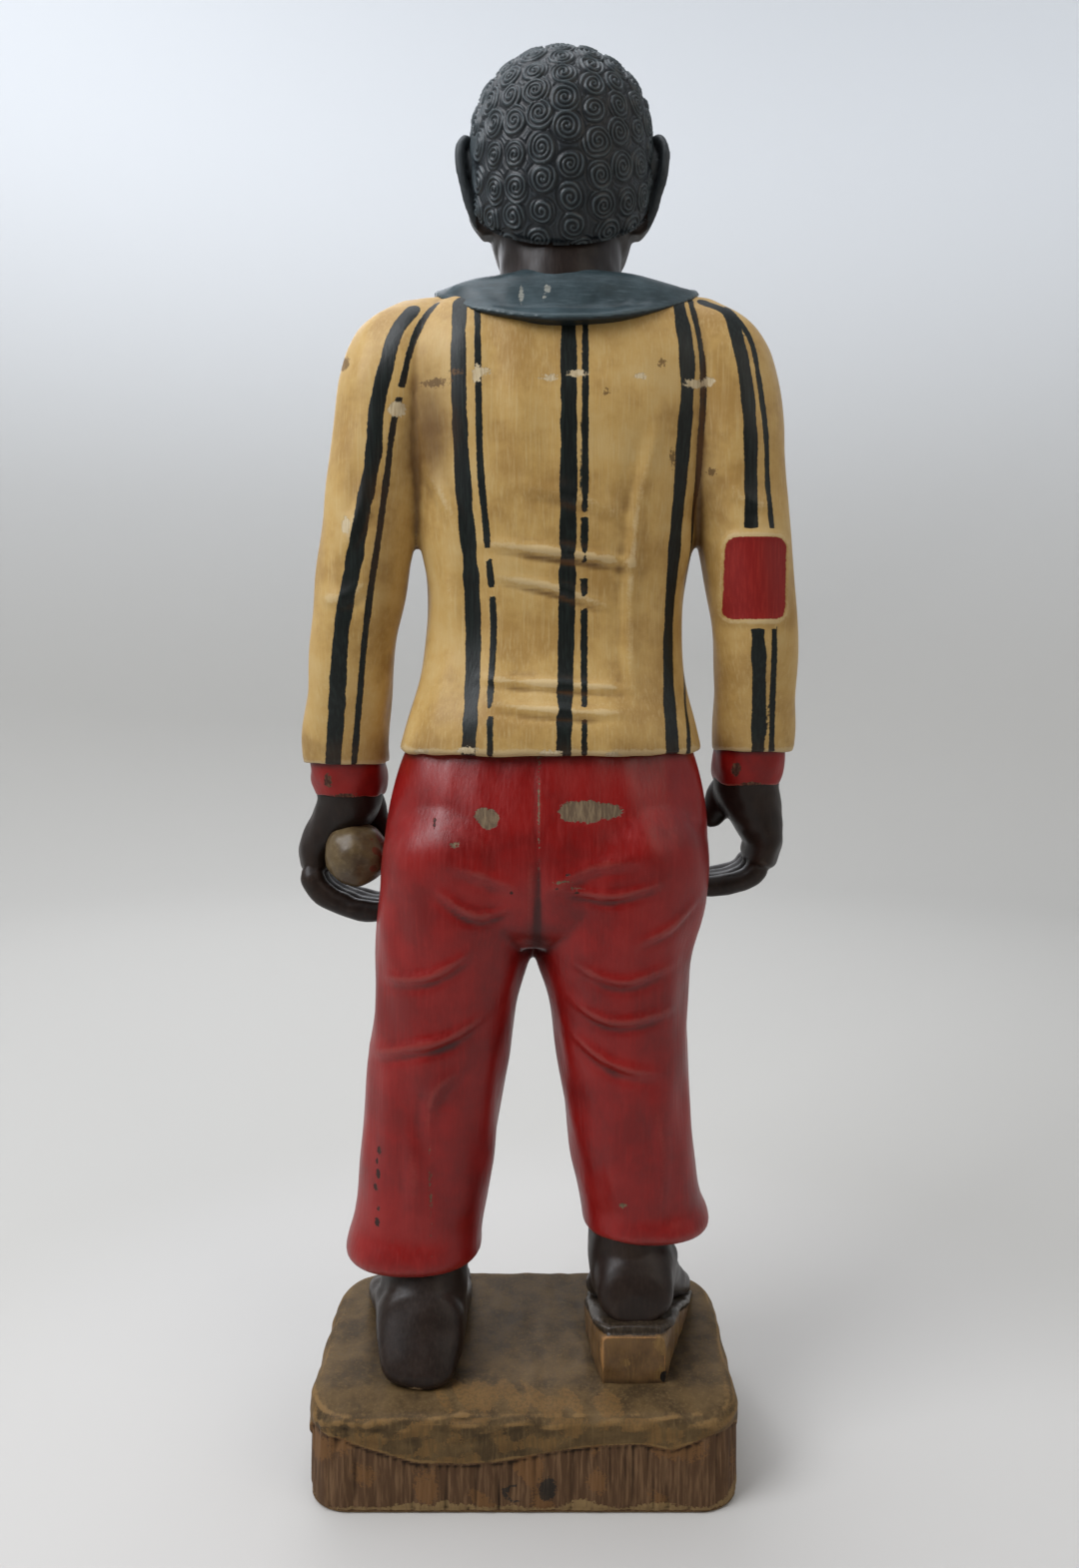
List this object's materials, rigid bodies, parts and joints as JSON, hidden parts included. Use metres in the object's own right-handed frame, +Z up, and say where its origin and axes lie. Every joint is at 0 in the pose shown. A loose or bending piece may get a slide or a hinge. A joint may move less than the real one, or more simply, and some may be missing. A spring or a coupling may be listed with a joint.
{
  "type": "carved wooden figure",
  "caption": "Standing carved wooden figure of a man in a striped shirt and wide trousers, with a ball in his hand, on a plinth, painted and worn.",
  "frame": {"origin": "centre of the plinth's underside", "axes": "+Z up; the figure faces -Y, with its left hand towards +X"},
  "size_m": [0.3666, 0.2, 0.987],
  "materials": {
    "painted_wood": "carved wood under worn oil paint"
  },
  "bodies": {
    "root": {"carved_figure": "painted_wood"}
  },
  "joints": []
}
